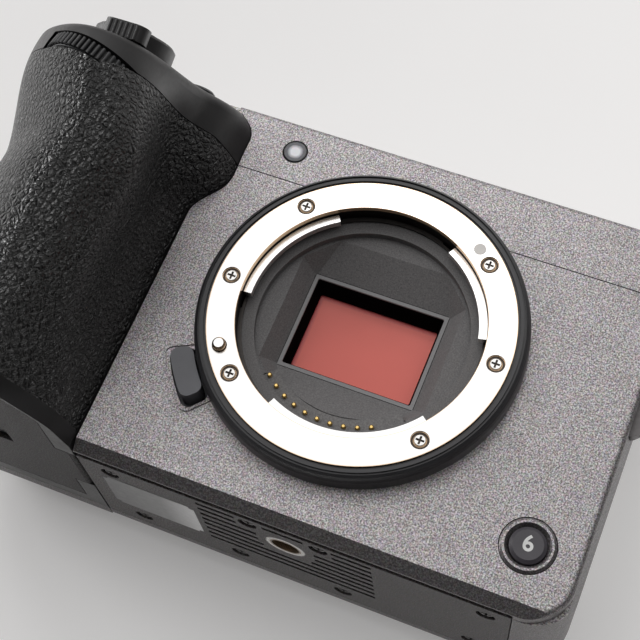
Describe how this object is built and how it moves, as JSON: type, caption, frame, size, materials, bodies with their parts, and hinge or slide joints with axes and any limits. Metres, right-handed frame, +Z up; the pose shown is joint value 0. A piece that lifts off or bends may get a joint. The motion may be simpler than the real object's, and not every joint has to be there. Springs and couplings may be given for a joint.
{
  "type": "cinema camera",
  "caption": "Compact cinema camera body with a lens bayonet, deep leather grip, dials, buttons, hinged doors, a swing-out monitor and threaded mounting points.",
  "frame": {"origin": "mouth of the tripod socket in the base, under the lens axis; the camera stands on z = 0", "axes": "+Z up, -Y out of the lens mount towards the scene, +X away from the hand grip"},
  "size_m": [0.1354, 0.0819, 0.0812],
  "materials": {
    "speckled_paint": "satin, finely speckled",
    "base_paint": "satin, finely speckled",
    "cast_frame": "dull casting",
    "mount_steel": "polished turned ring",
    "screw_steel": "plated",
    "spring_steel": "bright",
    "brass_bush": "turned",
    "gold_contact": "gold plated",
    "black_plastic": "matte",
    "throat_black": "flocked, matte",
    "grip_leather": "pebbled",
    "glass_filter": "coated",
    "sensor_red": "coated silicon",
    "screen_glass": "glossy",
    "lamp_white": "translucent",
    "board_green": "solder mask",
    "sink_aluminium": "milled",
    "battery_black": "moulded"
  },
  "bodies": {
    "camera_body": {"front_cover": "speckled_paint", "top_cover": "speckled_paint", "rear_cover": "speckled_paint", "base_plate": "base_paint", "side_cover": "speckled_paint", "chassis": "cast_frame", "mount_trim_ring": "black_plastic", "mount_ring": "mount_steel", "mount_screws": "screw_steel", "mount_spring": "spring_steel", "throat_baffle": "throat_black", "contact_block": "throat_black", "contact_pins": "gold_contact", "window_frame": "black_plastic", "lamp_lens": "lamp_white", "button_bezel": "black_plastic", "tripod_socket": "brass_bush", "base_screws": "screw_steel", "main_board": "board_green", "heat_sink": "sink_aluminium", "fan_housing": "black_plastic", "grip_core": "base_paint", "grip_leather": "grip_leather", "grip_shoulder": "black_plastic", "battery": "battery_black", "door_pins": "screw_steel", "strap_lug": "screw_steel", "card_holder": "black_plastic", "port_sockets": "black_plastic", "accessory_shoe": "screw_steel", "thread_bushes": "brass_bush", "hinge_bracket": "cast_frame"},
    "lock_pin": {"lock_pin": "mount_steel"},
    "release_button": {"release_button": "black_plastic"},
    "front_button": {"front_button": "black_plastic"},
    "fan_rotor": {"fan_rotor": "black_plastic"},
    "battery_door": {"battery_door": "base_paint"},
    "battery_latch": {"battery_latch": "black_plastic"},
    "front_dial": {"front_dial": "black_plastic"},
    "zoom_lever": {"zoom_lever": "black_plastic"},
    "shutter_button": {"shutter_button": "black_plastic"},
    "custom_button": {"custom_button": "black_plastic"},
    "record_button": {"record_button": "black_plastic"},
    "power_switch": {"power_switch": "black_plastic"},
    "rear_dial": {"rear_dial": "black_plastic"},
    "control_wheel": {"control_wheel": "black_plastic"},
    "wheel_button": {"wheel_button": "black_plastic"},
    "joystick_gimbal": {"joystick_gimbal": "black_plastic"},
    "joystick": {"joystick": "black_plastic"},
    "menu_button": {"menu_button": "black_plastic"},
    "card_door": {"card_door": "base_paint"},
    "upper_port_cover": {"upper_port_cover": "speckled_paint"},
    "lower_port_cover": {"lower_port_cover": "speckled_paint"},
    "sensor_guide": {"sensor_guide": "black_plastic"},
    "sensor_carriage": {"sensor_carriage": "black_plastic", "image_sensor": "sensor_red", "sensor_filter": "glass_filter"},
    "monitor": {"monitor_arm": "screw_steel", "monitor_case": "black_plastic", "monitor_glass": "screen_glass"}
  },
  "joints": [
    {"name": "release_press", "type": "slide", "parent": "camera_body", "child": "release_button", "axis": [0, 1, 0], "range_m": [0, 0.0015], "stiffness_N_per_m": 900, "springref_m": -0.0005},
    {"name": "lock_pin_draw", "type": "slide", "parent": "camera_body", "child": "lock_pin", "axis": [0, 1, 0], "range_m": [0, 0.0015]},
    {"name": "front_button_press", "type": "slide", "parent": "camera_body", "child": "front_button", "axis": [0, 1, 0], "range_m": [0, 0.0008], "stiffness_N_per_m": 900, "springref_m": -0.0003},
    {"name": "shutter_press", "type": "slide", "parent": "camera_body", "child": "shutter_button", "axis": [0, 0.2961, -0.9552], "range_m": [0, 0.0006], "stiffness_N_per_m": 900, "springref_m": -0.0003},
    {"name": "custom_press", "type": "slide", "parent": "camera_body", "child": "custom_button", "axis": [0, 0.2961, -0.9552], "range_m": [0, 0.0005], "stiffness_N_per_m": 900, "springref_m": -0.0003},
    {"name": "record_press", "type": "slide", "parent": "camera_body", "child": "record_button", "axis": [0, 0, -1], "range_m": [0, 0.0006], "stiffness_N_per_m": 900, "springref_m": -0.0003},
    {"name": "menu_press", "type": "slide", "parent": "camera_body", "child": "menu_button", "axis": [0, -1, 0], "range_m": [0, 0.0005], "stiffness_N_per_m": 900, "springref_m": -0.0003},
    {"name": "wheel_button_press", "type": "slide", "parent": "camera_body", "child": "wheel_button", "axis": [0, -1, 0], "range_m": [0, 0.0004], "stiffness_N_per_m": 900, "springref_m": -0.0003},
    {"name": "zoom_turn", "type": "hinge", "parent": "camera_body", "child": "zoom_lever", "pos_m": [-0.057, -0.034, 0.06884], "axis": [0, -0.2961, 0.9552], "range_deg": [-18, 18], "stiffness_Nm_per_rad": 0.01},
    {"name": "power_turn", "type": "hinge", "parent": "camera_body", "child": "power_switch", "pos_m": [-0.046, 0.014, 0.0778], "axis": [0, 0, 1], "range_deg": [0, 35]},
    {"name": "front_dial_spin", "type": "hinge", "parent": "camera_body", "child": "front_dial", "pos_m": [-0.0579, -0.0393, 0.0594], "axis": [0.1874, 0, 0.9823], "continuous": true},
    {"name": "rear_dial_spin", "type": "hinge", "parent": "camera_body", "child": "rear_dial", "pos_m": [-0.063, 0.0216, 0.0585], "axis": [0, 0, 1], "continuous": true},
    {"name": "control_wheel_spin", "type": "hinge", "parent": "camera_body", "child": "control_wheel", "pos_m": [-0.052, 0.0285, 0.023], "axis": [0, 1, 0], "continuous": true},
    {"name": "joystick_up_down", "type": "hinge", "parent": "camera_body", "child": "joystick_gimbal", "pos_m": [-0.0385, 0.026, 0.05], "axis": [1, 0, 0], "range_deg": [-8, 8], "stiffness_Nm_per_rad": 0.004},
    {"name": "joystick_left_right", "type": "hinge", "parent": "joystick_gimbal", "child": "joystick", "pos_m": [-0.0385, 0.026, 0.05], "axis": [0, 0, 1], "range_deg": [-8, 8], "stiffness_Nm_per_rad": 0.004},
    {"name": "battery_door_swing", "type": "hinge", "parent": "camera_body", "child": "battery_door", "pos_m": [-0.0426, 0, 0.0009], "axis": [0, -1, 0], "range_deg": [0, 100]},
    {"name": "battery_latch_slide", "type": "slide", "parent": "battery_door", "child": "battery_latch", "axis": [1, 0, 0], "range_m": [0, 0.003]},
    {"name": "card_door_swing", "type": "hinge", "parent": "camera_body", "child": "card_door", "pos_m": [-0.0759, 0.0196, 0.036], "axis": [0, 0, -1], "range_deg": [0, 95]},
    {"name": "upper_cover_swing", "type": "hinge", "parent": "camera_body", "child": "upper_port_cover", "pos_m": [0.0517, -0.0038, 0.0475], "axis": [0, 0, -1], "range_deg": [0, 85]},
    {"name": "lower_cover_swing", "type": "hinge", "parent": "camera_body", "child": "lower_port_cover", "pos_m": [0.0517, -0.0038, 0.0225], "axis": [0, 0, -1], "range_deg": [0, 85]},
    {"name": "fan_spin", "type": "hinge", "parent": "camera_body", "child": "fan_rotor", "pos_m": [0.014, 0.0155, 0.034], "axis": [0, 1, 0], "continuous": true},
    {"name": "sensor_shift_across", "type": "slide", "parent": "camera_body", "child": "sensor_guide", "axis": [1, 0, 0], "range_m": [-0.001, 0.001]},
    {"name": "sensor_shift_up", "type": "slide", "parent": "sensor_guide", "child": "sensor_carriage", "axis": [0, 0, 1], "range_m": [-0.001, 0.001]},
    {"name": "monitor_swing", "type": "hinge", "parent": "camera_body", "child": "monitor", "pos_m": [0.0487, 0.0292, 0.035], "axis": [0, 0, -1], "range_deg": [0, 176]}
  ],
  "couplings": [
    {"joint": "lock_pin_draw", "follows": "release_press", "ratio": 1}
  ]
}
